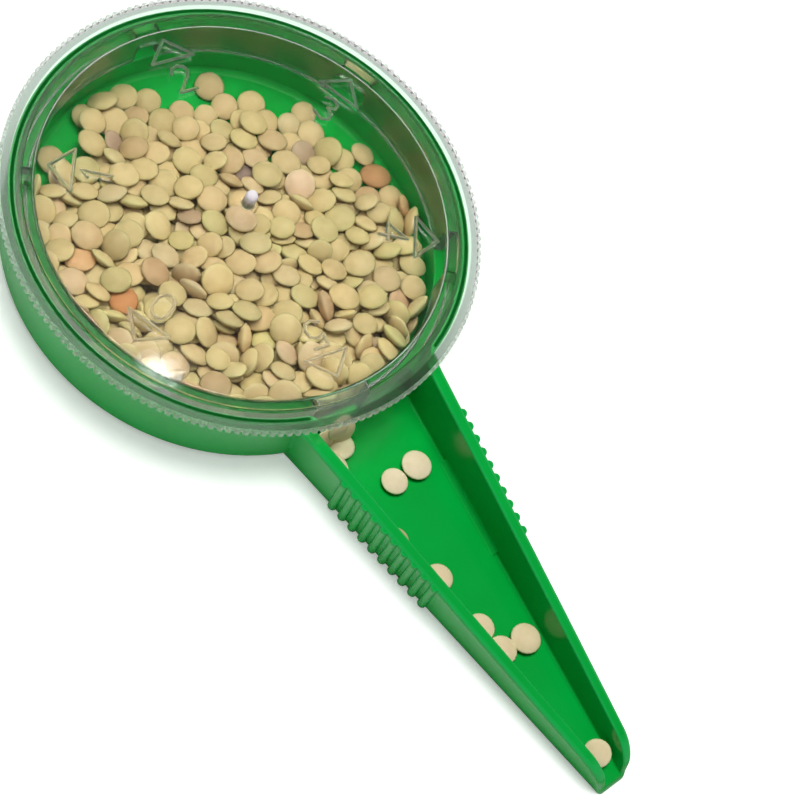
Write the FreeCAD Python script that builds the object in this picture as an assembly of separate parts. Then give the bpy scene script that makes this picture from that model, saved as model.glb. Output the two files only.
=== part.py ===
import FreeCAD, Part
import math
import os

# Dial seed sower: a round cup that runs out into a tapering chute, and a clear dial that turns on the cup.
# Millimetres. The origin is the centre of the cup's flat underside, +Z runs up the dial's axis and
# +X runs along the chute.

# Cup: outer wall, rim and floor
CUP_RIM_R = 33.4
CUP_RIM_INNER_R = 32.4
CUP_BASE_R = 32.8
CUP_BASE_ROUND = 1.5
CUP_FLOOR_Z = 1.2
RIM_TOP_Z = 12.7
RIM_CHAMFER = 0.25
# Cup: the ledge under the dial's skirt and the lower wall
LEDGE_Z = 5.4
LEDGE_INNER_R = 30.6
LOWER_WALL_R = 30.3
FLOOR_ROUND = 1.0

# Chute: half widths and wall height, each as a pair at stations X_NEAR and X_FAR
X_NEAR = 40.0
X_FAR = 90.0
OUTER_BASE = (10.0, 3.27)
OUTER_TOP = (11.2, 4.08)
INNER_BASE = (9.0, 2.0)
INNER_TOP = (9.1, 2.3)
WALL_TOP_Z = (9.64, 5.48)
CHUTE_FLOOR_Z = 1.24
CHUTE_START_X = 28.0
CHUTE_PAST_X = 97.0
CUTTER_TOP_Z = 16.0
TROUGH_ROUND = 0.3
WALL_TOP_OUTER_ROUND = 0.6
WALL_TOP_INNER_ROUND = 0.3
# Chute: the nose, where the walls curve down to the end (X, Z)
NOSE = ((94.4, 0.0), (94.2, 0.65), (93.85, 1.3), (93.1, 3.1), (91.9, 4.4), (90.6, 5.15), (88.8, 5.58))

# Mouth, where the chute leaves the cup
SILL_R = 31.8
MOUTH_FLARE = 2.5
RIM_END_ROUND = 1.2

# Grip ribs on the outside of the chute's walls
RIB_COUNT = 10
RIB_FIRST_X = 40.4
RIB_PITCH = 2.04
RIB_WIDTH = 1.35
RIB_DEPTH = 0.5
RIB_TOP_DROP = 0.15
RIB_DOME_DROP = 0.5
# Cove at the foot of each inner wall behind the ribs
COVE_ENDS_X = (43.6, 58.8)
COVE_R = 1.05

# Dial: knurled flange, disc and skirt
TOOTH_COUNT = 180
TOOTH_TIP_R = 35.0
TOOTH_ROOT_R = 34.6
TOOTH_TIP_SHARE = 0.22
TOOTH_FLANK_SHARE = 0.2
FLANGE_TOP_Z = 13.8
DISC_TOP_Z = 14.2
DISC_UNDER_Z = 12.9
DISC_EDGE_R = 31.76
DISC_BEVEL = 0.12
SKIRT_R = 31.75
SKIRT_INNER_R = 30.25
SKIRT_BOTTOM_Z = 5.7
SKIRT_CHAMFER = 0.2
SKIRT_ROOT_ROUND = 0.5
# Dial: moulding gate at the centre, as shares of its radius and height
GATE_R = 0.9
GATE_HEIGHT = 2.9
GATE_OUTLINE = ((1.25, 0.0), (1.05, 0.03), (1.0, 0.1), (0.97, 0.68), (0.9, 0.8), (0.72, 0.91), (0.4, 0.98),
                (0.0, 1.0))

# Dial: six settings, each with a digit, a triangle and (but for the closed one) a notch in the skirt
SETTING_TURN = 60.0
FIRST_SETTING_ANGLE = -69.6
NOTCHES = ((1, 3.0, 2.5), (2, 4.0, 3.5), (3, 5.5, 4.5), (4, 7.0, 5.5), (5, 9.0, 6.5))
NOTCH_ROUND = 0.8
SETTING_STEP = (0, -1, -2, -3, -4, 1)
MARK_HEIGHT = 0.25
MARK_LINE = 0.55
MARK_RIDGE = 0.2
DIGIT_R = 21.5
DIGIT_SCALE = 1.05
TRIANGLE_TIP_R = 28.2
TRIANGLE_BASE_R = 24.8
TRIANGLE_HALF = 3.3

# Digit strokes: X to the right, Y towards the dial's edge
DIGITS = (
    (((0.0, 2.0), (-0.8, 1.6), (-1.2, 0.7), (-1.2, -0.7), (-0.8, -1.6), (0.0, -2.0), (0.8, -1.6),
      (1.2, -0.7), (1.2, 0.7), (0.8, 1.6), (0.0, 2.0)),),
    (((-0.7, 1.2), (0.2, 2.0), (0.2, -2.0)),),
    (((-1.2, 1.0), (-0.9, 1.7), (0.0, 2.0), (0.9, 1.7), (1.2, 1.0), (0.8, 0.1), (-1.2, -2.0), (1.2, -2.0)),),
    (((-1.1, 1.5), (0.0, 2.0), (0.9, 1.5), (0.9, 0.7), (0.0, 0.15), (1.0, -0.4), (1.1, -1.3),
      (0.2, -2.0), (-1.2, -1.5)),),
    (((0.6, -2.0), (0.6, 2.0), (-1.3, -0.8), (1.3, -0.8)),),
    (((1.1, 2.0), (-0.9, 2.0), (-1.1, 0.3), (0.1, 0.6), (1.0, 0.1), (1.2, -0.8), (0.8, -1.7),
      (-0.1, -2.0), (-1.2, -1.5)),),
)

Z_AXIS = FreeCAD.Vector(0, 0, 1)
ORIGIN = FreeCAD.Vector(0, 0, 0)
TINY = 0.01
WALL_TOP_TOLERANCE = 0.05
LONG_EDGE = 1.0
CUT_PAST = 1.0


def vec(x, y, z):
    return FreeCAD.Vector(x, y, z)


def revolve(profile):
    """Turn a closed (radius, Z) outline about the dial's axis."""
    points = [vec(r, 0, z) for r, z in profile]
    wire = Part.makePolygon(points + points[:1])
    return Part.Face(wire).revolve(ORIGIN, Z_AXIS, 360)


def turned(shape, degrees):
    copy = shape.copy()
    copy.rotate(ORIGIN, Z_AXIS, degrees)
    return copy


def quarter(centre_r, centre_z, radius, start, end, steps=8):
    """Points of a quarter round in an outline, angles in degrees."""
    points = []
    for step in range(steps + 1):
        angle = math.radians(start + (end - start) * step / steps)
        points.append((centre_r + radius * math.cos(angle), centre_z + radius * math.sin(angle)))
    return points


def at(pair, x):
    """A chute size at station x, from its values at the two stations."""
    return pair[0] + (pair[1] - pair[0]) * (x - X_NEAR) / (X_FAR - X_NEAR)


def draft(base, top, x):
    """How far a wall leans out for each millimetre of height, at station x."""
    return (at(top, x) - at(base, x)) / (at(WALL_TOP_Z, x) - CHUTE_FLOOR_Z)


def section(x, base, top, base_z):
    """A four-cornered section of the chute, its walls carried on up past their tops."""
    low = at(base, x) + draft(base, top, x) * (base_z - CHUTE_FLOOR_Z)
    high = at(base, x) + draft(base, top, x) * (CUTTER_TOP_Z - CHUTE_FLOOR_Z)
    corners = [vec(x, -low, base_z), vec(x, low, base_z), vec(x, high, CUTTER_TOP_Z),
               vec(x, -high, CUTTER_TOP_Z)]
    return Part.makePolygon(corners + corners[:1])


def taper(base, top, base_z):
    wires = [section(x, base, top, base_z) for x in (CHUTE_START_X, CHUTE_PAST_X)]
    return Part.makeLoft(wires, True, True)


def side_view(drop):
    """The chute seen from the side, as a slab wider than the chute."""
    wide = CUP_RIM_R
    nose = [vec(x, -wide, z) for x, z in NOSE]
    curve = Part.BSplineCurve()
    curve.interpolate(nose)
    start_top = vec(CHUTE_START_X, -wide, at(WALL_TOP_Z, CHUTE_START_X))
    start_low = vec(CHUTE_START_X, -wide, 0)
    edges = [curve.toShape(), Part.makeLine(nose[-1], start_top), Part.makeLine(start_top, start_low),
             Part.makeLine(start_low, nose[0])]
    slab = Part.Face(Part.Wire(edges)).extrude(vec(0, 2 * wide, 0))
    slab.translate(vec(0, 0, -drop))
    return slab


def cup_outside():
    low = quarter(CUP_BASE_R - CUP_BASE_ROUND, CUP_BASE_ROUND, CUP_BASE_ROUND, -90, 0)
    rim = [(CUP_RIM_R, RIM_TOP_Z - RIM_CHAMFER), (CUP_RIM_R - RIM_CHAMFER, RIM_TOP_Z), (0, RIM_TOP_Z)]
    return revolve([(0, 0)] + low + rim)


def cup_inside():
    foot = quarter(LOWER_WALL_R - FLOOR_ROUND, CUP_FLOOR_Z + FLOOR_ROUND, FLOOR_ROUND, -90, 0)
    wall = [(LEDGE_INNER_R, LEDGE_Z), (CUP_RIM_INNER_R, LEDGE_Z), (CUP_RIM_INNER_R, RIM_TOP_Z - RIM_CHAMFER),
            (CUP_RIM_INNER_R + RIM_CHAMFER, RIM_TOP_Z), (CUP_RIM_INNER_R + RIM_CHAMFER, CUTTER_TOP_Z),
            (0, CUTTER_TOP_Z)]
    return revolve([(0, CUP_FLOOR_Z)] + foot + wall)


def rib(x):
    """An upright half-round rib on the wall at station x, its domed top cut off just under the wall's."""
    radius = (RIB_WIDTH ** 2 / 4 + RIB_DEPTH ** 2) / (2 * RIB_DEPTH)
    sunk = radius - RIB_DEPTH
    foot = vec(x, at(OUTER_BASE, x) - sunk, 0)
    head = vec(x, at(OUTER_TOP, x) - sunk, at(WALL_TOP_Z, x))
    along = head.sub(foot).normalize()
    head = head.sub(along * RIB_DOME_DROP)
    start = foot.sub(along * radius)
    bar = Part.makeCylinder(radius, head.sub(start).Length, start, along)
    return bar.fuse(Part.makeSphere(radius, head)).common(side_view(0)).common(side_view(RIB_TOP_DROP))


def ribs():
    """Ribs on both outer walls."""
    near = [rib(RIB_FIRST_X + index * RIB_PITCH) for index in range(RIB_COUNT)]
    return near + [one.mirror(ORIGIN, vec(0, 1, 0)) for one in near]


def chute_outside():
    """The chute without its trough, its two top edges rounded down to the end."""
    solid = taper(OUTER_BASE, OUTER_TOP, 0).common(side_view(0))
    tops = [edge for edge in solid.Edges if top_edge(edge, CHUTE_START_X)]
    return solid.makeFillet(WALL_TOP_OUTER_ROUND, tops)


def top_edge(edge, from_x):
    """True for a lengthwise edge along the wall tops or the nose."""
    ends = [vertex.Point for vertex in edge.Vertexes]
    middle = edge.valueAt((edge.FirstParameter + edge.LastParameter) / 2)
    lengthwise = abs(ends[0].x - ends[-1].x) > LONG_EDGE and min(ends[0].x, ends[-1].x) >= from_x - TINY
    return lengthwise and middle.z > CHUTE_FLOOR_Z + TROUGH_ROUND and highest(middle)


def highest(point):
    """True where a point is on the walls' top line, or on the nose beyond it."""
    return point.x > NOSE[-1][0] or abs(point.z - at(WALL_TOP_Z, point.x)) < WALL_TOP_TOLERANCE


def trough():
    """The space inside the chute, with rounded corners along its floor."""
    space = taper(INNER_BASE, INNER_TOP, CHUTE_FLOOR_Z)
    low = [edge for edge in space.Edges if on_floor(edge)]
    space = space.makeFillet(TROUGH_ROUND, low)
    sill = Part.makeCylinder(SILL_R, LEDGE_Z)
    return space.cut(sill)


def on_floor(edge):
    ends = [vertex.Point for vertex in edge.Vertexes]
    level = all(abs(point.z - CHUTE_FLOOR_Z) < TINY for point in ends)
    return level and abs(ends[0].x - ends[-1].x) > LONG_EDGE


def rim_gap():
    """Cutter that rounds the rim's two ends down to the chute's walls, seen along the chute."""
    edge = at(INNER_TOP, CUP_RIM_INNER_R)
    low = RIM_TOP_Z - RIM_END_ROUND
    round_end = quarter(edge + RIM_END_ROUND, low, RIM_END_ROUND, 180, 90)
    plan = round_end + [(edge + RIM_END_ROUND, CUTTER_TOP_Z), (0, CUTTER_TOP_Z), (0, low)]
    points = [vec(CHUTE_START_X, y, z) for y, z in plan]
    through = vec(CUP_RIM_R - CHUTE_START_X + CUT_PAST, 0, 0)
    half = Part.Face(Part.makePolygon(points + points[:1])).extrude(through)
    return [half, half.mirror(ORIGIN, vec(0, 1, 0))]


def mouth_flare():
    """Cutter that rounds the two corners, seen from above, where the cup runs out into the chute."""
    reach = CUP_RIM_INNER_R + MOUTH_FLARE
    middle_y = at(INNER_TOP, CUP_RIM_INNER_R) + MOUTH_FLARE
    middle_x = math.sqrt(reach ** 2 - middle_y ** 2)
    start = math.degrees(math.atan2(-middle_y, -middle_x))
    arc = quarter(middle_x, middle_y, MOUTH_FLARE, start, -90)
    plan = arc + [(middle_x, 0), (CHUTE_START_X, 0), (CHUTE_START_X, arc[0][1])]
    points = [vec(x, y, LEDGE_Z) for x, y in plan]
    half = Part.Face(Part.makePolygon(points + points[:1])).extrude(vec(0, 0, CUTTER_TOP_Z))
    return [half, half.mirror(ORIGIN, vec(0, 1, 0))]


def cove_section(x):
    """The cove's hollow quarter round at station x, carried on down into the floor and out into the wall."""
    foot = at(INNER_BASE, x)
    face = foot + COVE_R * draft(INNER_BASE, INNER_TOP, x)
    buried = (foot + at(OUTER_BASE, x)) / 2
    top = CHUTE_FLOOR_Z + COVE_R
    low = CHUTE_FLOOR_Z / 2
    hollow = quarter(face - COVE_R, top, COVE_R, -90, 0)
    plan = hollow + [(buried, top), (buried, low), (face - COVE_R, low)]
    points = [vec(x, y, z) for y, z in plan]
    return Part.makePolygon(points + points[:1])


def coves():
    """Coves at the foot of the two inner walls."""
    strip = Part.makeLoft([cove_section(x) for x in COVE_ENDS_X], True, True)
    return [strip, strip.mirror(ORIGIN, vec(0, 1, 0))]


def cup_and_chute():
    solid = cup_outside().multiFuse([chute_outside()] + ribs())
    solid = solid.cut([cup_inside(), trough()] + rim_gap() + mouth_flare())
    solid = solid.multiFuse(coves()).removeSplitter()
    tops = [edge for edge in solid.Edges if top_edge(edge, SILL_R - CUT_PAST) and inner_side(edge)]
    return solid.makeFillet(WALL_TOP_INNER_ROUND, tops)


def inner_side(edge):
    middle = edge.valueAt((edge.FirstParameter + edge.LastParameter) / 2)
    between = (at(INNER_TOP, middle.x) + at(OUTER_BASE, middle.x)) / 2
    return abs(middle.y) < between


def toothed_edge():
    """The flange's knurled outline as a flat-topped plate."""
    pitch = 2 * math.pi / TOOTH_COUNT
    tip = pitch * TOOTH_TIP_SHARE
    flank = pitch * TOOTH_FLANK_SHARE
    points = []
    for tooth in range(TOOTH_COUNT):
        middle = tooth * pitch
        for angle, radius in ((-tip - flank, TOOTH_ROOT_R), (-tip, TOOTH_TIP_R), (tip, TOOTH_TIP_R),
                              (tip + flank, TOOTH_ROOT_R)):
            turn = middle + angle
            points.append(vec(radius * math.cos(turn), radius * math.sin(turn), RIM_TOP_Z))
    return Part.Face(Part.makePolygon(points + points[:1])).extrude(vec(0, 0, FLANGE_TOP_Z - RIM_TOP_Z))


def dial_blank():
    plate = toothed_edge()
    root = quarter(SKIRT_INNER_R - SKIRT_ROOT_ROUND, DISC_UNDER_Z - SKIRT_ROOT_ROUND, SKIRT_ROOT_ROUND, 90, 0)
    foot = [(SKIRT_INNER_R, SKIRT_BOTTOM_Z + SKIRT_CHAMFER), (SKIRT_INNER_R + SKIRT_CHAMFER, SKIRT_BOTTOM_Z),
            (SKIRT_R - SKIRT_CHAMFER, SKIRT_BOTTOM_Z), (SKIRT_R, SKIRT_BOTTOM_Z + SKIRT_CHAMFER)]
    top = [(SKIRT_R, FLANGE_TOP_Z - TINY), (DISC_EDGE_R, FLANGE_TOP_Z),
           (DISC_EDGE_R - DISC_BEVEL, DISC_TOP_Z), (0, DISC_TOP_Z)]
    disc = revolve([(0, DISC_UNDER_Z)] + root + foot + top)
    inside = Part.makeCylinder(SKIRT_R - SKIRT_CHAMFER, 2 * RIM_TOP_Z, ORIGIN)
    return plate.cut(inside).fuse(disc)


def notch(width, height):
    """A round-cornered cutter through the skirt on the +X side."""
    corner = vec(LOWER_WALL_R - CUT_PAST - width / 4, -width / 2, SKIRT_BOTTOM_Z - CUT_PAST)
    block = Part.makeBox(CUP_RIM_R - corner.x, width, height + CUT_PAST, corner)
    top = [edge for edge in block.Edges if along_x_at(edge, SKIRT_BOTTOM_Z + height)]
    return block.makeFillet(NOTCH_ROUND, top)


def along_x_at(edge, z):
    ends = [vertex.Point for vertex in edge.Vertexes]
    return abs(ends[0].x - ends[1].x) > TINY and all(abs(point.z - z) < TINY for point in ends)


def setting_angle(setting):
    return FIRST_SETTING_ANGLE + SETTING_TURN * SETTING_STEP[setting]


def stroke(start, end):
    """One round-ended raised line with sloping sides."""
    run = end.sub(start)
    base = MARK_LINE / 2
    ridge = MARK_RIDGE / 2
    corners = [vec(0, -base, 0), vec(0, base, 0), vec(0, ridge, MARK_HEIGHT), vec(0, -ridge, MARK_HEIGHT)]
    bar = Part.Face(Part.makePolygon(corners + corners[:1])).extrude(vec(run.Length, 0, 0))
    bar = bar.fuse(Part.makeCone(base, ridge, MARK_HEIGHT))
    bar = bar.fuse(Part.makeCone(base, ridge, MARK_HEIGHT, vec(run.Length, 0, 0)))
    bar.rotate(ORIGIN, Z_AXIS, math.degrees(math.atan2(run.y, run.x)))
    bar.translate(vec(start.x, start.y, DISC_TOP_Z))
    return bar


def lines(points):
    return [stroke(start, end) for start, end in zip(points, points[1:])]


def digit(number):
    """Strokes of a digit on the +X side, its top towards the edge."""
    bars = []
    for path in DIGITS[number]:
        bars += lines([vec(DIGIT_R + y * DIGIT_SCALE, -x * DIGIT_SCALE, 0) for x, y in path])
    return bars


def triangle():
    """Outline triangle on the +X side, pointing at the edge."""
    tip = vec(TRIANGLE_TIP_R, 0, 0)
    left = vec(TRIANGLE_BASE_R, TRIANGLE_HALF, 0)
    right = vec(TRIANGLE_BASE_R, -TRIANGLE_HALF, 0)
    return lines([tip, left, right, tip])


def gate():
    """Domed stub left where the plastic entered the mould."""
    outline = [(GATE_R * across, DISC_TOP_Z + GATE_HEIGHT * up) for across, up in GATE_OUTLINE]
    return revolve([(0, DISC_UNDER_Z), (outline[0][0], DISC_UNDER_Z)] + outline)


def clear_dial():
    marks = [gate()]
    for setting in range(len(DIGITS)):
        for mark in digit(setting) + triangle():
            marks.append(turned(mark, setting_angle(setting)))
    cutters = [turned(notch(width, height), setting_angle(setting)) for setting, width, height in NOTCHES]
    return dial_blank().cut(cutters).multiFuse(marks).removeSplitter()


def main():
    os.makedirs("parts", exist_ok=True)
    nodes = {"cup_and_chute": cup_and_chute, "clear_dial": clear_dial}
    for name, build in nodes.items():
        shape = build()
        print(name, "solids", len(shape.Solids), "valid", shape.isValid(), shape.BoundBox)
        shape.exportStep("parts/" + name + ".step")


main()
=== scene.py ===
import math

import bmesh
import bpy
import numpy as np
from mathutils import Matrix, Vector


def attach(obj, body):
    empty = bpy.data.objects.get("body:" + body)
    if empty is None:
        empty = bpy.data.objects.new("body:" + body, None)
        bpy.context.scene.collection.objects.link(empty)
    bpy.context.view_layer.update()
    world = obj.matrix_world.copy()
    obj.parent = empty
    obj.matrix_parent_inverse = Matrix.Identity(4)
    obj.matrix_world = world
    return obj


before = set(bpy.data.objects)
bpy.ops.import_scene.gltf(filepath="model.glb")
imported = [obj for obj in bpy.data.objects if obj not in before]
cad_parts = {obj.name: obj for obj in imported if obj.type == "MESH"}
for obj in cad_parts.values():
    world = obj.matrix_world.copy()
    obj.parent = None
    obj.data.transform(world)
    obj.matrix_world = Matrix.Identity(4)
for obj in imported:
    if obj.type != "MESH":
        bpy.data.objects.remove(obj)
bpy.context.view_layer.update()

scene = bpy.context.scene
scene.view_settings.view_transform = "Standard"


# ---------------------------------------------------------------------------
# Viewpoint. The sower lies flat and is seen from above its near side, a long lens close to it, with the
# camera rolled so that the chute runs down to the right.
CAMERA_AT = (0.0865, -0.1472, 0.2687)
CAMERA_BEARING = math.radians(-70.904)
CAMERA_HEIGHT_ANGLE = math.radians(58.354)
CAMERA_ROLL = math.radians(37.254)
LENS_MM = 97.79
SENSOR_MM = 36.0
CLIP_START = 0.01

lens = bpy.data.cameras.new("camera")
lens.lens = LENS_MM
lens.sensor_width = SENSOR_MM
lens.clip_start = CLIP_START
camera = bpy.data.objects.new("camera", lens)
scene.collection.objects.link(camera)
turn = Matrix.Rotation(CAMERA_BEARING + math.pi / 2, 4, "Z")
tip = Matrix.Rotation(math.pi / 2 - CAMERA_HEIGHT_ANGLE, 4, "X")
roll = Matrix.Rotation(CAMERA_ROLL, 4, "Z")
camera.matrix_world = Matrix.Translation(CAMERA_AT) @ turn @ tip @ roll
scene.camera = camera


# ---------------------------------------------------------------------------
# Light. A white tent that is bright only near the horizon, one wide soft lamp overhead that lights the level
# tops and leaves upright walls dark, and a thin bright tube that glints in the clear dial. The wide lamp is
# diffused: no gloss mirrors it, so the dial stays clear from above.
HORIZON_LEVEL = 0.92
ZENITH_LEVEL = 0.09
ZENITH_FROM = 0.55
BACKDROP_TOP = (0.1, 0.3)
HALF_A_BOUNCE = 0.5
OVERHEAD_AT = (-0.09, 0.03, 0.915)
OVERHEAD_SIZE = (0.42, 0.42)
OVERHEAD_POWER = 7.3
TUBE_ENDS = ((-0.2407, 0.3855, 0.8891), (-0.2208, 0.3952, 0.8898))
TUBE_WIDTH = 0.005
TUBE_POWER = 0.014
LAMP_AIM = (0.015, -0.026, 0.014)


def place(tree, kind, **settings):
    """A new node, with values for its sockets or its properties."""
    node = tree.nodes.new(kind)
    for key, value in settings.items():
        if key in node.inputs:
            node.inputs[key].default_value = value
        else:
            setattr(node, key, value)
    return node


def plug(tree, value, socket):
    """Feed a socket from another socket, or set it to a plain value."""
    if isinstance(value, bpy.types.NodeSocket):
        tree.links.new(value, socket)
    else:
        socket.default_value = value


def maths(tree, operation, *values):
    node = place(tree, "ShaderNodeMath", operation=operation)
    for value, socket in zip(values, node.inputs):
        plug(tree, value, socket)
    return node.outputs["Value"]


def vector_maths(tree, operation, *vectors):
    node = place(tree, "ShaderNodeVectorMath", operation=operation)
    for vector, socket in zip(vectors, node.inputs):
        tree.links.new(vector, socket)
    return node.outputs["Value"]


def mapped(tree, value, before, after=(0.0, 1.0), **settings):
    """A value taken from one span to another, and held at the span's ends."""
    node = place(tree, "ShaderNodeMapRange", **settings)
    for label, limit in zip(("From Min", "From Max", "To Min", "To Max"), (*before, *after)):
        node.inputs[label].default_value = limit
    tree.links.new(value, node.inputs["Value"])
    return node.outputs["Result"]


def mix(tree, factor, first, second, **settings):
    node = place(tree, "ShaderNodeMix", **settings)
    for value, label in ((factor, "Factor"), (first, "A"), (second, "B")):
        plug(tree, value, node.inputs[label])
    return node.outputs["Result"]


def split(tree, vector):
    """The X, Y and Z of a vector."""
    node = place(tree, "ShaderNodeSeparateXYZ")
    tree.links.new(vector, node.inputs["Vector"])
    return node.outputs


def whereabouts(tree):
    """The texture coordinates."""
    return place(tree, "ShaderNodeTexCoord").outputs


sky = bpy.data.worlds.new("tent")
sky.use_nodes = True
tree = sky.node_tree
backlight = tree.nodes["Background"].inputs
backlight["Color"].default_value = (1, 1, 1, 1)
rays = place(tree, "ShaderNodeLightPath").outputs
up = split(tree, whereabouts(tree)["Generated"])["Z"]
straight = maths(tree, "LESS_THAN", rays["Diffuse Depth"], HALF_A_BOUNCE)
through = maths(tree, "MULTIPLY", rays["Is Transmission Ray"], straight)
backdrop = maths(tree, "MULTIPLY", through, mapped(tree, up, BACKDROP_TOP, (1.0, 0.0)))
seen = maths(tree, "MAXIMUM", rays["Is Camera Ray"], backdrop)
level = mapped(tree, up, (0.0, ZENITH_FROM), (HORIZON_LEVEL, ZENITH_LEVEL))
tree.links.new(mix(tree, seen, level, 1.0), backlight["Strength"])
scene.world = sky


def add_lamp(name, at, along, size, power):
    """An elliptical lamp turned to the sower, its first size along the given direction."""
    lamp = bpy.data.lights.new(name, "AREA")
    lamp.shape = "ELLIPSE"
    lamp.size, lamp.size_y = size
    lamp.energy = power
    back = (Vector(at) - Vector(LAMP_AIM)).normalized()
    side = back.cross(Vector(along)).normalized()
    turn = Matrix((side.cross(back), side, back)).transposed()
    holder = bpy.data.objects.new(name, lamp)
    holder.matrix_world = Matrix.Translation(at) @ turn.to_4x4()
    holder.visible_camera = False
    scene.collection.objects.link(holder)
    return holder


overhead = add_lamp("overhead", OVERHEAD_AT, (1, 0, 0), OVERHEAD_SIZE, OVERHEAD_POWER)
overhead.visible_glossy = False
tube_start, tube_end = [Vector(end) for end in TUBE_ENDS]
tube_run = tube_end - tube_start
add_lamp("tube", (tube_start + tube_end) / 2, tube_run, (tube_run.length, TUBE_WIDTH), TUBE_POWER)


# ---------------------------------------------------------------------------
# Ground. A matt white table top under the sower, large enough to fill every view. It fades to the backdrop's
# white away from the sower, past the lamp's reach.
GROUND_HALF = 1.5
GROUND_DROP = 0.00005
GROUND_COLOUR = (0.93, 0.93, 0.93, 1)
GROUND_LIFT = 0.35
GROUND_FADE = (0.15, 0.45)
PAPER_ROUGHNESS = 0.9
PAPER_SPECULAR = 0.1

mesh = bpy.data.meshes.new("ground")
corners = [(-1, -1), (1, -1), (1, 1), (-1, 1)]
mesh.from_pydata([(x * GROUND_HALF, y * GROUND_HALF, -GROUND_DROP) for x, y in corners], [], [(0, 1, 2, 3)])
ground = bpy.data.objects.new("ground", mesh)
scene.collection.objects.link(ground)
paper = bpy.data.materials.new("white_paper")
paper.use_nodes = True
surface = paper.node_tree.nodes["Principled BSDF"]
surface.inputs["Base Color"].default_value = GROUND_COLOUR
surface.inputs["Roughness"].default_value = PAPER_ROUGHNESS
surface.inputs["Specular IOR Level"].default_value = PAPER_SPECULAR
surface.inputs["Emission Color"].default_value = (1, 1, 1, 1)
tree = paper.node_tree
rays = place(tree, "ShaderNodeLightPath").outputs
seen = maths(tree, "MAXIMUM", rays["Is Camera Ray"], rays["Is Transmission Ray"])
away = vector_maths(tree, "LENGTH", whereabouts(tree)["Object"])
lift = maths(tree, "MULTIPLY", seen, mapped(tree, away, GROUND_FADE, (GROUND_LIFT, 1.0)))
tree.links.new(lift, surface.inputs["Emission Strength"])
mesh.materials.append(paper)


# ---------------------------------------------------------------------------
# Cup and chute. One moulding in vivid green plastic, glossy, with the faint orange-peel of a polished
# mould. Its edges and sloping rounds above the floor are painted paler: partly rubbing where it is handled,
# partly painted sheen.
GREEN = (0.001, 0.39, 0.050, 1)
GREEN_DEEP = (0.001, 0.35, 0.040, 1)
GREEN_EDGE_SHEEN = (0.006, 0.41, 0.075, 1)
FACE_ROUGHNESS = (0.17, 0.25)
ROUND_ROUGHNESS = 0.80
GREEN_SPECULAR = 0.35
EDGE_ROUGHNESS = 0.55
RUBBED_OVER_Z = (0.0030, 0.0036)
EDGE_REACH = 0.0006
EDGE_SAMPLES = 6
SHARP_LEAN = (0.995, 0.9)
ROUND_FACINGS = ((0.25, 0.5), (0.985, 0.9))
PEEL_SCALE = 900.0
PEEL_SHARE = 0.5
SINK_SCALE = 70.0
SINK_SHARE = 1.0
SKIN_DETAIL = 2.0
CLOUD_SPAN = (0.3, 0.6)
GREEN_IOR = 1.5
GREEN_BUMP = (0.15, 0.0002)


def new_group(name, inputs, outputs):
    group = bpy.data.node_groups.new(name, "ShaderNodeTree")
    for label, kind, value in inputs:
        socket = group.interface.new_socket(label, in_out="INPUT", socket_type=kind)
        socket.default_value = value
    for label, kind in outputs:
        group.interface.new_socket(label, in_out="OUTPUT", socket_type=kind)
    return group


def edge_wear_and_sheen_group():
    """Masks of the edges and sloping rounds above the floor, painted paler as rubbing and as sheen, and of
    all the rounds between faces.
    """
    group = new_group("edge_wear_and_sheen", [("Reach", "NodeSocketFloat", EDGE_REACH)],
                      [("Mask", "NodeSocketFloat"), ("Rounds", "NodeSocketFloat")])
    link = group.links.new
    start = place(group, "NodeGroupInput").outputs
    end = place(group, "NodeGroupOutput").inputs
    rounded = place(group, "ShaderNodeBevel", samples=EDGE_SAMPLES)
    link(start["Reach"], rounded.inputs["Radius"])
    flat = place(group, "ShaderNodeNewGeometry")
    lean = vector_maths(group, "DOT_PRODUCT", rounded.outputs["Normal"], flat.outputs["Normal"])
    where = whereabouts(group)
    facing = split(group, where["Normal"])["Z"]
    rounds = maths(group, "MULTIPLY", *[mapped(group, facing, span) for span in ROUND_FACINGS])
    edges = maths(group, "MAXIMUM", mapped(group, lean, SHARP_LEAN), rounds)
    high = mapped(group, split(group, where["Object"])["Z"], RUBBED_OVER_Z)
    link(maths(group, "MULTIPLY", edges, high), end["Mask"])
    link(rounds, end["Rounds"])
    return group


def moulded_skin_group():
    """Height of a moulded plastic skin: fine orange-peel, with broad, very shallow sink."""
    group = new_group(
        "moulded_skin",
        [("Peel", "NodeSocketFloat", PEEL_SHARE), ("Sink", "NodeSocketFloat", SINK_SHARE)],
        [("Height", "NodeSocketFloat"), ("Cloud", "NodeSocketFloat")],
    )
    link = group.links.new
    start = place(group, "NodeGroupInput").outputs
    end = place(group, "NodeGroupOutput").inputs
    where = whereabouts(group)["Object"]
    peel, sink = [place(group, "ShaderNodeTexNoise", Scale=scale, Detail=SKIN_DETAIL)
                  for scale in (PEEL_SCALE, SINK_SCALE)]
    link(where, peel.inputs["Vector"])
    link(where, sink.inputs["Vector"])
    fine = maths(group, "MULTIPLY", peel.outputs["Fac"], start["Peel"])
    link(maths(group, "MULTIPLY_ADD", sink.outputs["Fac"], start["Sink"], fine), end["Height"])
    link(sink.outputs["Fac"], end["Cloud"])
    return group


def add_bump(tree, height, surface, strength, distance):
    bump = place(tree, "ShaderNodeBump", Strength=strength, Distance=distance)
    tree.links.new(height, bump.inputs["Height"])
    tree.links.new(bump.outputs["Normal"], surface.inputs["Normal"])


edge_wear_and_sheen = edge_wear_and_sheen_group()
moulded_skin = moulded_skin_group()


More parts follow.
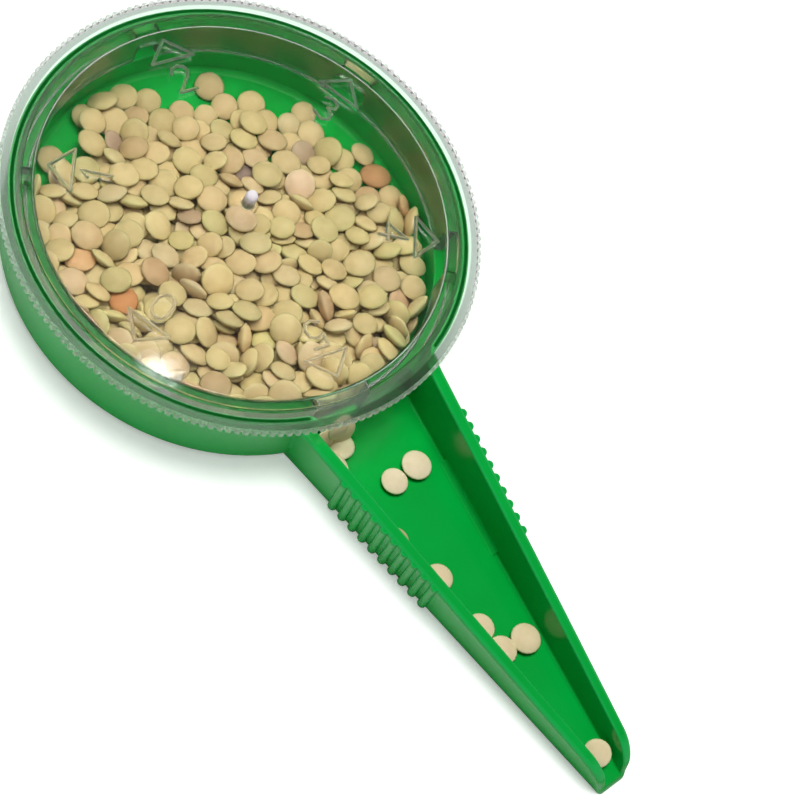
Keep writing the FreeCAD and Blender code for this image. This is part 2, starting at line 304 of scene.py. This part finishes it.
def green_plastic():
    material = bpy.data.materials.new("green_plastic")
    material.use_nodes = True
    tree = material.node_tree
    shader = tree.nodes["Principled BSDF"]
    shader.inputs["IOR"].default_value = GREEN_IOR
    shader.inputs["Specular IOR Level"].default_value = GREEN_SPECULAR
    skin = place(tree, "ShaderNodeGroup", node_tree=moulded_skin).outputs
    worn = place(tree, "ShaderNodeGroup", node_tree=edge_wear_and_sheen).outputs
    cloud = mapped(tree, skin["Cloud"], CLOUD_SPAN)
    shade = mix(tree, cloud, GREEN_DEEP, GREEN, data_type="RGBA")
    # Paler green on edges and sloping rounds: rubbing in part, painted sheen in part.
    edged = mix(tree, worn["Mask"], shade, GREEN_EDGE_SHEEN, data_type="RGBA")
    tree.links.new(edged, shader.inputs["Base Color"])
    rough = mapped(tree, skin["Cloud"], (0.0, 1.0), FACE_ROUGHNESS)
    eased = mix(tree, worn["Rounds"], rough, ROUND_ROUGHNESS)
    dulled = mix(tree, worn["Mask"], eased, EDGE_ROUGHNESS)
    tree.links.new(dulled, shader.inputs["Roughness"])
    add_bump(tree, skin["Height"], shader, *GREEN_BUMP)
    return material


green = green_plastic()
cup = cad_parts["cup_and_chute"]
for slot in cup.material_slots:
    slot.material = green


# ---------------------------------------------------------------------------
# Clear dial. One moulding in clear plastic, polished on both faces. The knurl, the raised marks and the gate
# are left matt by the mould. The flange and the skirt are tinted grey and grey-green: painted shade for the
# dimmer places seen through them.
CLEAR = (0.95, 0.96, 0.93, 1)
FLANGE_SHADE_GREY = (0.34, 0.29, 0.32, 1)
SKIRT_SHADE_TINT = (0.52, 0.80, 0.60, 1)
KNURL_WHITE = (0.96, 0.97, 0.96, 1)
FLANGE_R = (0.0333, 0.0336)
EDGE_DIM_R = (0.0262, 0.0305)
KNURL_R = 0.03455
SKIRT_UNDER_Z = 0.01285
MARKS_OVER_Z = 0.01423
DISC_SHADE = (0.66, 0.65, 0.60, 1)
EDGE_SHADE = (0.52, 0.54, 0.50, 1)
GRAZING_SHADE = (0.05, 0.06, 0.05, 1)
GRAZING_BLEND = 0.5
GRAZING_SPAN = (0.3, 0.7)
DIAL_IOR = 1.49
POLISH_SPAN = (0.35, 0.7)
POLISH_ROUGHNESS = (0.02, 0.06)
SKIRT_ROUGHNESS = 0.22
KNURL_ROUGHNESS = 0.80
MARKS_ROUGHNESS = 0.60
DIAL_BUMP = (0.08, 0.0001)


def from_axis(tree, spot):
    """Distance from the dial's axis."""
    level = place(tree, "ShaderNodeCombineXYZ")
    tree.links.new(spot["X"], level.inputs["X"])
    tree.links.new(spot["Y"], level.inputs["Y"])
    return vector_maths(tree, "LENGTH", level.outputs["Vector"])


def dial_zones_group():
    """Masks of the dial's flange, knurl, skirt and raised marks, from radius and height."""
    labels = ("Flange", "Knurl", "Skirt", "Marks")
    group = new_group("dial_zones", [], [(label, "NodeSocketFloat") for label in labels])
    link = group.links.new
    end = place(group, "NodeGroupOutput").inputs
    spot = split(group, whereabouts(group)["Object"])
    radius = from_axis(group, spot)
    link(mapped(group, radius, FLANGE_R, interpolation_type="SMOOTHSTEP"), end["Flange"])
    limits = (("Knurl", "GREATER_THAN", radius, KNURL_R),
              ("Skirt", "LESS_THAN", spot["Z"], SKIRT_UNDER_Z),
              ("Marks", "GREATER_THAN", spot["Z"], MARKS_OVER_Z))
    for label, compare, value, limit in limits:
        link(maths(group, compare, value, limit), end[label])
    return group


dial_zones = dial_zones_group()


def clear_plastic():
    material = bpy.data.materials.new("clear_plastic")
    material.use_nodes = True
    tree = material.node_tree
    link = tree.links.new
    shader = tree.nodes["Principled BSDF"]
    shader.inputs["IOR"].default_value = DIAL_IOR
    shader.inputs["Transmission Weight"].default_value = 1.0
    zones = place(tree, "ShaderNodeGroup", node_tree=dial_zones).outputs
    skin = place(tree, "ShaderNodeGroup", node_tree=moulded_skin).outputs

    colour = CLEAR
    # The flange and skirt tints are painted shade over what is seen through them.
    for label, tint in (("Flange", FLANGE_SHADE_GREY), ("Skirt", SKIRT_SHADE_TINT), ("Knurl", KNURL_WHITE)):
        colour = mix(tree, zones[label], colour, tint, data_type="RGBA")
    link(colour, shader.inputs["Base Color"])
    roughness = mapped(tree, skin["Cloud"], POLISH_SPAN, POLISH_ROUGHNESS)
    matt_zones = (("Skirt", SKIRT_ROUGHNESS), ("Knurl", KNURL_ROUGHNESS), ("Marks", MARKS_ROUGHNESS))
    for label, value in matt_zones:
        roughness = mix(tree, zones[label], roughness, value)
    link(roughness, shader.inputs["Roughness"])
    add_bump(tree, skin["Height"], shader, *DIAL_BUMP)

    # Shadow rays pass the dial through a tint that darkens at grazing angles and, beyond what the plastic
    # does, toward the rim: a painted shadow over the cup's edge and far floor.
    facing = place(tree, "ShaderNodeLayerWeight", Blend=GRAZING_BLEND).outputs["Facing"]
    radius = from_axis(tree, split(tree, whereabouts(tree)["Object"]))
    dim = mapped(tree, radius, EDGE_DIM_R, interpolation_type="SMOOTHSTEP")
    shade = mix(tree, dim, DISC_SHADE, EDGE_SHADE, data_type="RGBA")
    grazing = mix(tree, mapped(tree, facing, GRAZING_SPAN), shade, GRAZING_SHADE, data_type="RGBA")
    through = place(tree, "ShaderNodeBsdfTransparent")
    link(grazing, through.inputs["Color"])
    either = place(tree, "ShaderNodeMixShader")
    link(place(tree, "ShaderNodeLightPath").outputs["Is Shadow Ray"], either.inputs["Fac"])
    link(shader.outputs["BSDF"], either.inputs[1])
    link(through.outputs["BSDF"], either.inputs[2])
    link(either.outputs["Shader"], tree.nodes["Material Output"].inputs["Surface"])
    return material


clear = clear_plastic()
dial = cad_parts["clear_dial"]
for slot in dial.material_slots:
    slot.material = clear


# ---------------------------------------------------------------------------
# Gate scar. The matt white end of the stub at the dial's centre, where the plastic was broken off the
# runner. A thin cap over the clear stub, part of the same moulding.
# Outline from the foot to the top: radius, Z
SCAR_PROFILE = ((0.00091, 0.0157), (0.00091, 0.0163), (0.00087, 0.01655), (0.00072, 0.01686),
                (0.00042, 0.01705), (0.0, 0.0171))
SCAR_SIDES = 32
SCAR_COLOUR = (0.92, 0.86, 0.90, 1)
SCAR_ROUGHNESS = 0.45
SCAR_GRAIN = 2500.0
SCAR_DETAIL = 3.0
SCAR_BUMP = (0.4, 0.00005)

shape = bmesh.new()
turns = [2 * math.pi * side / SCAR_SIDES for side in range(SCAR_SIDES)]
rings = [[shape.verts.new((r * math.cos(turn), r * math.sin(turn), z)) for turn in turns]
         for r, z in SCAR_PROFILE[:-1]]
for lower, upper in zip(rings, rings[1:]):
    for side in range(SCAR_SIDES):
        after = (side + 1) % SCAR_SIDES
        shape.faces.new((lower[side], lower[after], upper[after], upper[side]))
top = shape.verts.new((0, 0, SCAR_PROFILE[-1][1]))
for side in range(SCAR_SIDES):
    shape.faces.new((rings[-1][side], rings[-1][(side + 1) % SCAR_SIDES], top))
mesh = bpy.data.meshes.new("gate_scar")
shape.to_mesh(mesh)
shape.free()
mesh.shade_smooth()
scar = bpy.data.objects.new("gate_scar", mesh)
scene.collection.objects.link(scar)
matt = bpy.data.materials.new("broken_plastic")
matt.use_nodes = True
surface = matt.node_tree.nodes["Principled BSDF"]
surface.inputs["Base Color"].default_value = SCAR_COLOUR
surface.inputs["Roughness"].default_value = SCAR_ROUGHNESS
grain = place(matt.node_tree, "ShaderNodeTexNoise", Scale=SCAR_GRAIN, Detail=SCAR_DETAIL)
add_bump(matt.node_tree, grain.outputs["Fac"], surface, *SCAR_BUMP)
mesh.materials.append(matt)
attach(scar, "dial")


# ---------------------------------------------------------------------------
# Seeds in the cup. Dry lentils, poured in and shaken down with the cup held on the tilt: a heap against the
# skirt at the near side, one layer at the far side, with a little of the cup's floor left bare.
SEED_ACROSS = (0.0036, 0.0049)
SEED_FLATNESS = 0.42
FLATNESS_SPREAD = (0.9, 1.12)
SEED_RIM = 0.7
SEED_SIDES = 20
SEED_RINGS = 4
HULL_SIDES = 12
HULL_RINGS = 2
SEED_COUNT = 590
CUP_FLOOR = 0.0012
SEED_SPACE_R = 0.0299
POUR_SCALE = 100.0
POUR_FRAMES = 130
POUR_STEPS = 6
POUR_PULL = 30.0
POUR_TILT = math.radians(11)
POUR_TOWARDS = math.radians(-38)
POUR_PITCH = 0.0052
POUR_RISE = 0.0034
WALL_SIDES = 32
SEED_GRIP = 0.40
SEED_MARGIN = 0.002
SLOWED_BY = 0.1
TURNS_SLOWED_BY = 0.2
SOLVER_PASSES = 12
TANK_WALL = 1.0
TANK_FLOOR_SHARE = 3
WALLS_ARC = 2.2
START_JITTER = 0.0002
START_GAP = 0.6
START_LEAN = 0.3
START_TURN = 6
POUR_DRAW = 7
TINT_DRAW = 8
BARE = ((-0.0229, -0.0109, 0.0032), (-0.0286, 0.0047, 0.0028), (-0.0240, 0.0061, 0.0022),
        (-0.0122, -0.0204, 0.0012), (-0.0250, 0.0191, 0.0024))
BARE_UNDER_Z = 0.0034
PALE_RIM = (1.02, 1.12, 1.10)
RIM_FROM = 0.75
SHADE_SPREAD = 0.05
HUE_SPREAD = 0.02
PALEST = 0.9
ODD_REACH = 0.8
MOTTLE_SCALE = 600.0
MOTTLE_DETAIL = 4.0
MOTTLE_ROUGHNESS = 0.6
MOTTLE_SPAN = (0.35, 0.75)
MOTTLE_SHARE = 0.35
MOTTLE_SHADE = (0.72, 0.66, 0.5, 1)
LENTIL_ROUGHNESS = (0.55, 0.75)
LENTIL_BUMP = (0.25, 0.00015)
# These tints are darker than those of the same lentils in the chute: painted shade for the light lost under
# the dial.
SEED_COLOURS = (
    (0.64, (0.61, 0.47, 0.25)),
    (0.22, (0.57, 0.46, 0.23)),
    (0.09, (0.59, 0.45, 0.27)),
    (0.04, (0.52, 0.37, 0.20)),
    (0.01, (0.57, 0.37, 0.19)),
)
# Odd seeds out: where on the heap, and their colour
ODD_SEEDS = (
    ((-0.0083, 0.0094), (0.26, 0.18, 0.15)),
    ((0.0015, -0.0208), (0.56, 0.25, 0.10)),
    ((-0.0064, -0.0033), (0.42, 0.29, 0.19)),
    ((-0.0077, 0.0203), (0.44, 0.32, 0.22)),
    ((0.0175, 0.0057), (0.52, 0.34, 0.20)),
    ((-0.0005, 0.0156), (0.74, 0.54, 0.38)),
    ((0.0202, 0.0160), (0.55, 0.36, 0.22)),
    ((-0.0008, -0.0135), (0.52, 0.34, 0.19)),
    ((0.0026, -0.0253), (0.45, 0.28, 0.16)),
    ((-0.0214, -0.0049), (0.42, 0.29, 0.21)),
    ((0.0021, 0.0266), (0.50, 0.26, 0.12)),
)


def lens_rows(sides, rings):
    """Rings of a unit lentil from its lower to its upper side, and its two poles."""
    rows = []
    for level in range(-rings + 1, rings):
        out = math.cos(math.pi / 2 * level / rings)
        up = math.copysign((1 - out * out) ** SEED_RIM, level) if level else 0.0
        turns = [2 * math.pi * side / sides for side in range(sides)]
        rows.append([(out * math.cos(turn), out * math.sin(turn), up) for turn in turns])
    return rows, ((0, 0, -1), (0, 0, 1))


def hull_mesh(across, thick):
    rows, poles = lens_rows(HULL_SIDES, HULL_RINGS)
    shape = bmesh.new()
    for x, y, z in [point for row in rows for point in row] + list(poles):
        shape.verts.new((x * across, y * across, z * thick))
    bmesh.ops.convex_hull(shape, input=shape.verts)
    mesh = bpy.data.meshes.new("falling_seed")
    shape.to_mesh(mesh)
    shape.free()
    return mesh


def block_mesh(size):
    shape = bmesh.new()
    bmesh.ops.create_cube(shape, size=1.0)
    bmesh.ops.scale(shape, vec=size, verts=shape.verts)
    mesh = bpy.data.meshes.new("cup_side")
    shape.to_mesh(mesh)
    shape.free()
    return mesh


def add_body(tank, mesh, at, turned, kind, hull):
    body = bpy.data.objects.new(mesh.name, mesh)
    body.location = at
    body.rotation_euler = turned
    scene.collection.objects.link(body)
    tank.objects.link(body)
    body.rigid_body.type = kind
    body.rigid_body.collision_shape = hull
    body.rigid_body.friction = SEED_GRIP
    body.rigid_body.use_margin = True
    body.rigid_body.collision_margin = SEED_MARGIN if kind == "ACTIVE" else 0.0
    body.rigid_body.linear_damping = SLOWED_BY
    body.rigid_body.angular_damping = TURNS_SLOWED_BY
    return body


def start_places(random):
    """Places for the seeds above the floor, layer over layer, before they fall."""
    row = POUR_PITCH * math.sqrt(3) / 2
    half = int(SEED_SPACE_R / row) + 1
    places = []
    layer = 0
    while len(places) < SEED_COUNT:
        level = []
        for j in range(-half, half + 1):
            for i in range(-half, half + 1):
                x = (i + 0.5 * (j % 2)) * POUR_PITCH + random.uniform(-START_JITTER, START_JITTER)
                y = j * row + random.uniform(-START_JITTER, START_JITTER)
                if math.hypot(x, y) < SEED_SPACE_R - SEED_ACROSS[1] * START_GAP:
                    level.append((x, y, CUP_FLOOR + POUR_RISE * (layer + 1)))
        random.shuffle(level)
        places += level
        layer += 1
    return places[:SEED_COUNT]


def pour_seeds(seed):
    """Let the seeds fall and settle in a round tank the size of the cup, at a larger scale."""
    random = np.random.default_rng(seed)
    bpy.ops.rigidbody.world_add()
    world = scene.rigidbody_world
    world.collection = world.collection or bpy.data.collections.new("tank")
    world.substeps_per_frame = POUR_STEPS
    world.solver_iterations = SOLVER_PASSES
    world.point_cache.frame_end = POUR_FRAMES
    flat = POUR_PULL * math.sin(POUR_TILT)
    scene.gravity = (flat * math.cos(POUR_TOWARDS), flat * math.sin(POUR_TOWARDS),
                     -POUR_PULL * math.cos(POUR_TILT))
    wide = SEED_SPACE_R * POUR_SCALE
    half_wall = TANK_WALL / 2
    floor = (TANK_FLOOR_SHARE * wide, TANK_FLOOR_SHARE * wide, TANK_WALL)
    bodies = [add_body(world.collection, block_mesh(floor), (0, 0, CUP_FLOOR * POUR_SCALE - half_wall),
                       (0, 0, 0), "PASSIVE", "BOX")]
    side = WALLS_ARC * math.pi * (wide + TANK_WALL) / WALL_SIDES
    for index in range(WALL_SIDES):
        turn = 2 * math.pi * index / WALL_SIDES
        at = ((wide + half_wall) * math.cos(turn), (wide + half_wall) * math.sin(turn), wide)
        bodies.append(add_body(world.collection, block_mesh((TANK_WALL, side, 2 * wide)), at, (0, 0, turn),
                               "PASSIVE", "BOX"))
    falling = []
    for place_at in start_places(random):
        across = random.uniform(*SEED_ACROSS) / 2
        thick = across * SEED_FLATNESS * random.uniform(*FLATNESS_SPREAD)
        mesh = hull_mesh(across * POUR_SCALE, thick * POUR_SCALE)
        lean = (random.uniform(-START_LEAN, START_LEAN), random.uniform(-START_LEAN, START_LEAN),
                random.uniform(0, START_TURN))
        at = [POUR_SCALE * value for value in place_at]
        falling.append((add_body(world.collection, mesh, at, lean, "ACTIVE", "CONVEX_HULL"), across, thick))
    last_frame = POUR_FRAMES
    for frame_number in range(1, last_frame + 1):
        scene.frame_set(frame_number)
    settled = []
    for body, across, thick in falling:
        spot = body.matrix_world.translation / POUR_SCALE
        lay = np.array(body.matrix_world.to_3x3())
        settled.append((tuple(spot), lay, across, thick))
    tank = world.collection
    bpy.ops.rigidbody.world_remove()
    for body in bodies + [one for one, _, _ in falling]:
        mesh = body.data
        bpy.data.objects.remove(body)
        bpy.data.meshes.remove(mesh)
    bpy.data.collections.remove(tank)
    scene.frame_set(1)
    return settled


def over_bare(spot):
    """True for a seed in the lowest layer over one of the bare places."""
    x, y, z = spot
    return z < BARE_UNDER_Z and any(math.hypot(x - bx, y - by) < gap for bx, by, gap in BARE)


def seed_mesh():
    """One lentil of unit size: a round lens with a soft rim."""
    rows, poles = lens_rows(SEED_SIDES, SEED_RINGS)
    shape = bmesh.new()
    rows = [[shape.verts.new(point) for point in row] for row in rows]
    for lower, upper in zip(rows, rows[1:]):
        for side in range(SEED_SIDES):
            after = (side + 1) % SEED_SIDES
            shape.faces.new((lower[side], lower[after], upper[after], upper[side]))
    for row, point in zip((rows[0], rows[-1]), poles):
        pole = shape.verts.new(point)
        for side in range(SEED_SIDES):
            shape.faces.new((pole, row[side], row[(side + 1) % SEED_SIDES]))
    bmesh.ops.recalc_face_normals(shape, faces=shape.faces)
    mesh = bpy.data.meshes.new("lentil")
    shape.to_mesh(mesh)
    shape.free()
    return mesh


def join_seeds(name, seeds, colours, body):
    """One object of many lentils, each with its own tint, riding on a body."""
    unit = seed_mesh()
    points = np.empty(len(unit.vertices) * 3)
    unit.vertices.foreach_get("co", points)
    points = points.reshape(-1, 3)
    faces = [tuple(face.vertices) for face in unit.polygons]
    rim = np.clip((np.hypot(points[:, 0], points[:, 1]) - RIM_FROM) / (1 - RIM_FROM), 0, 1)[:, None]
    all_points, all_faces, tints = [], [], []
    for (middle, lay, across, thick), colour in zip(seeds, colours):
        first = len(all_points) * len(points)
        all_points.append(points * (across, across, thick) @ lay.T + middle)
        all_faces += [tuple(first + corner for corner in face) for face in faces]
        shades = np.array(colour) * (1 + rim * (np.array(PALE_RIM) - 1))
        tints.append(np.hstack((shades, np.ones_like(rim))))
    mesh = bpy.data.meshes.new(name)
    mesh.from_pydata(np.concatenate(all_points).tolist(), [], all_faces)
    layer = mesh.color_attributes.new("tint", "FLOAT_COLOR", "POINT")
    layer.data.foreach_set("color", np.concatenate(tints).ravel())
    mesh.shade_smooth()
    piece = bpy.data.objects.new(name, mesh)
    scene.collection.objects.link(piece)
    piece.data.materials.append(lentil_skin)
    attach(piece, body)
    bpy.data.meshes.remove(unit)


def lentil_material():
    """Dry lentil skin: waxy, mottled, each seed with its own tint."""
    material = bpy.data.materials.new("lentil_skin")
    material.use_nodes = True
    tree = material.node_tree
    shader = tree.nodes["Principled BSDF"]
    tint = place(tree, "ShaderNodeAttribute", attribute_name="tint").outputs["Color"]
    noise = place(tree, "ShaderNodeTexNoise", Scale=MOTTLE_SCALE, Detail=MOTTLE_DETAIL,
                  Roughness=MOTTLE_ROUGHNESS)
    tree.links.new(whereabouts(tree)["Object"], noise.inputs["Vector"])
    mottle = noise.outputs["Fac"]
    patches = mapped(tree, mottle, MOTTLE_SPAN, (0.0, MOTTLE_SHARE))
    mottled = mix(tree, patches, tint, MOTTLE_SHADE, data_type="RGBA", blend_type="MULTIPLY")
    tree.links.new(mottled, shader.inputs["Base Color"])
    tree.links.new(mapped(tree, mottle, (0.0, 1.0), LENTIL_ROUGHNESS), shader.inputs["Roughness"])
    add_bump(tree, mottle, shader, *LENTIL_BUMP)
    return material


def seed_tints(seeds, seed):
    """A common colour for most seeds, and the odd ones out where they lie."""
    random = np.random.default_rng(seed)
    shares = np.array([share for share, _ in SEED_COLOURS])
    tints = []
    for _ in seeds:
        base = np.array(SEED_COLOURS[random.choice(len(shares), p=shares / shares.sum())][1])
        tint = base * random.normal(1.0, SHADE_SPREAD) * random.normal(1.0, HUE_SPREAD, len(base))
        tints.append(np.clip(tint, 0, PALEST))
    for (x, y), colour in ODD_SEEDS:
        near = [math.hypot(s[0][0] - x, s[0][1] - y) - ODD_REACH * s[0][2] for s in seeds]
        tints[int(np.argmin(near))] = np.array(colour)
    return tints


lentil_skin = lentil_material()
cup_seeds = [seed for seed in pour_seeds(POUR_DRAW) if not over_bare(seed[0])]
join_seeds("lentils_in_cup", cup_seeds, seed_tints(cup_seeds, TINT_DRAW), "cup")


# ---------------------------------------------------------------------------
# Seeds in the chute. Lentils that have run out through the dial's largest notch. Most lie flat on the
# chute's floor, some against the near wall; one leans on that wall, three stand in the mouth against the sill
# and the dial's skirt, and one is wedged between the walls at the end.
CHUTE_FLOOR = 0.00124
REST_GAP = 0.00003
# Paler than the same lentils in the cup, as painted light for the open chute.
CHUTE_TINTS = ((0.90, 0.75, 0.52), (0.86, 0.70, 0.45), (0.56, 0.50, 0.26), (0.80, 0.60, 0.40))
# The third chute tint, a dull green-brown, is painted shade with the wall's green cast on one seed against
# the near wall.
CHUTE_SEED_FLATNESS = 0.31
# Flat ones: X, Y, size across, tint
LYING_SEEDS = (
    (0.0340, -0.0041, 0.0043, 0),
    (0.0421, 0.0040, 0.0046, 0),
    (0.0424, -0.0004, 0.0041, 0),
    (0.0496, -0.0058, 0.0040, 2),
    (0.0573, -0.0038, 0.0043, 1),
    (0.0663, -0.0031, 0.0043, 1),
    (0.0711, 0.0017, 0.0046, 1),
    (0.0706, -0.0024, 0.0044, 1),
)
# Leaning ones: X, Y, Z, size across, lean about the chute, lean along the chute, tint
LEANING_SEEDS = (
    (0.0360, -0.0071, 0.0027, 0.0051, math.radians(-24), 0.0, 0),
    (0.0896, -0.00015, 0.00235, 0.0041, math.radians(24), 0.0, 1),
    (0.0326, -0.0067, 0.0035, 0.0042, math.radians(-8), math.radians(62), 3),
    (0.0329, -0.0032, 0.0035, 0.0041, math.radians(8), math.radians(66), 3),
    (0.0328, -0.0054, 0.0071, 0.0041, math.radians(-4), math.radians(68), 3),
)
loose, chute_tints = [], []
for x, y, across, tint in LYING_SEEDS:
    thick = across / 2 * CHUTE_SEED_FLATNESS
    loose.append(((x, y, CHUTE_FLOOR + thick + REST_GAP), np.eye(3), across / 2, thick))
    chute_tints.append(CHUTE_TINTS[tint])
for x, y, z, across, about, along, tint in LEANING_SEEDS:
    thick = across / 2 * CHUTE_SEED_FLATNESS
    lay = Matrix.Rotation(about, 3, "X") @ Matrix.Rotation(along, 3, "Y")
    loose.append(((x, y, z), np.array(lay), across / 2, thick))
    chute_tints.append(CHUTE_TINTS[tint])
join_seeds("lentils_in_chute", loose, chute_tints, "cup")
